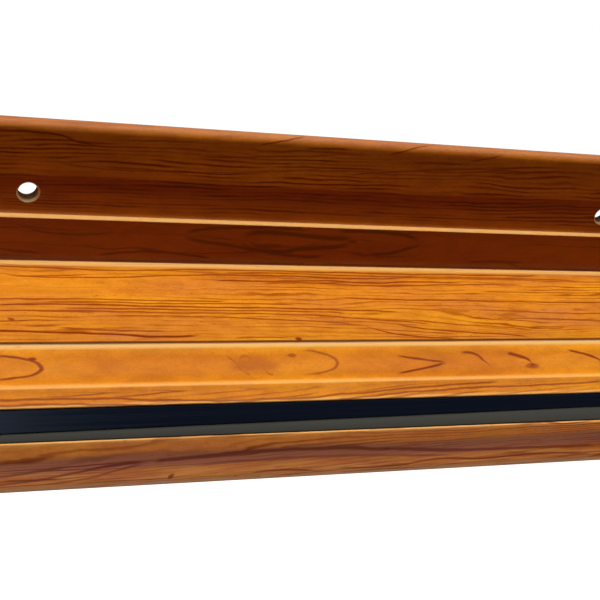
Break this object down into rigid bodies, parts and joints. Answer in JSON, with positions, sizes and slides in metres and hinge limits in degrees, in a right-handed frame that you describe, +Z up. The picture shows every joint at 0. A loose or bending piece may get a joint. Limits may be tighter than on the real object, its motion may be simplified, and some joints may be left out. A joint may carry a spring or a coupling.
{
  "type": "grab rail",
  "caption": "Wall-mounted grab rail: stepped extruded flange and deck with a rounded hollow grip, soft insert strips and end caps.",
  "frame": {"origin": "middle of the row of wall screw holes, on the wall face of the flange", "axes": "+X along the rail, -Y out from the wall, +Z up"},
  "size_m": [0.3, 0.0532, 0.0679],
  "materials": {
    "wood_print": "wood-grain print under a satin clear coat, on aluminium",
    "black_plastic": "smooth black",
    "grey_rubber": "matte dark grey",
    "cap_plastic": "fine moulded texture",
    "stainless_screw": "bright stainless",
    "zinc_nut": "zinc plated"
  },
  "bodies": {
    "root": {"mounting_rail": "wood_print", "grip_rail": "wood_print", "insert_carrier": "black_plastic", "insert_bead": "grey_rubber", "end_cap_left": "cap_plastic", "end_cap_right": "cap_plastic", "cap_screw_left_wall": "stainless_screw", "cap_screw_left_upper": "stainless_screw", "cap_screw_left_lower": "stainless_screw", "cap_screw_right_wall": "stainless_screw", "cap_screw_right_upper": "stainless_screw", "cap_screw_right_lower": "stainless_screw", "joint_screw_1": "stainless_screw", "joint_screw_2": "stainless_screw", "joint_screw_3": "stainless_screw", "joint_screw_4": "stainless_screw", "square_nut_1": "zinc_nut", "square_nut_2": "zinc_nut", "square_nut_3": "zinc_nut", "square_nut_4": "zinc_nut"}
  },
  "joints": []
}
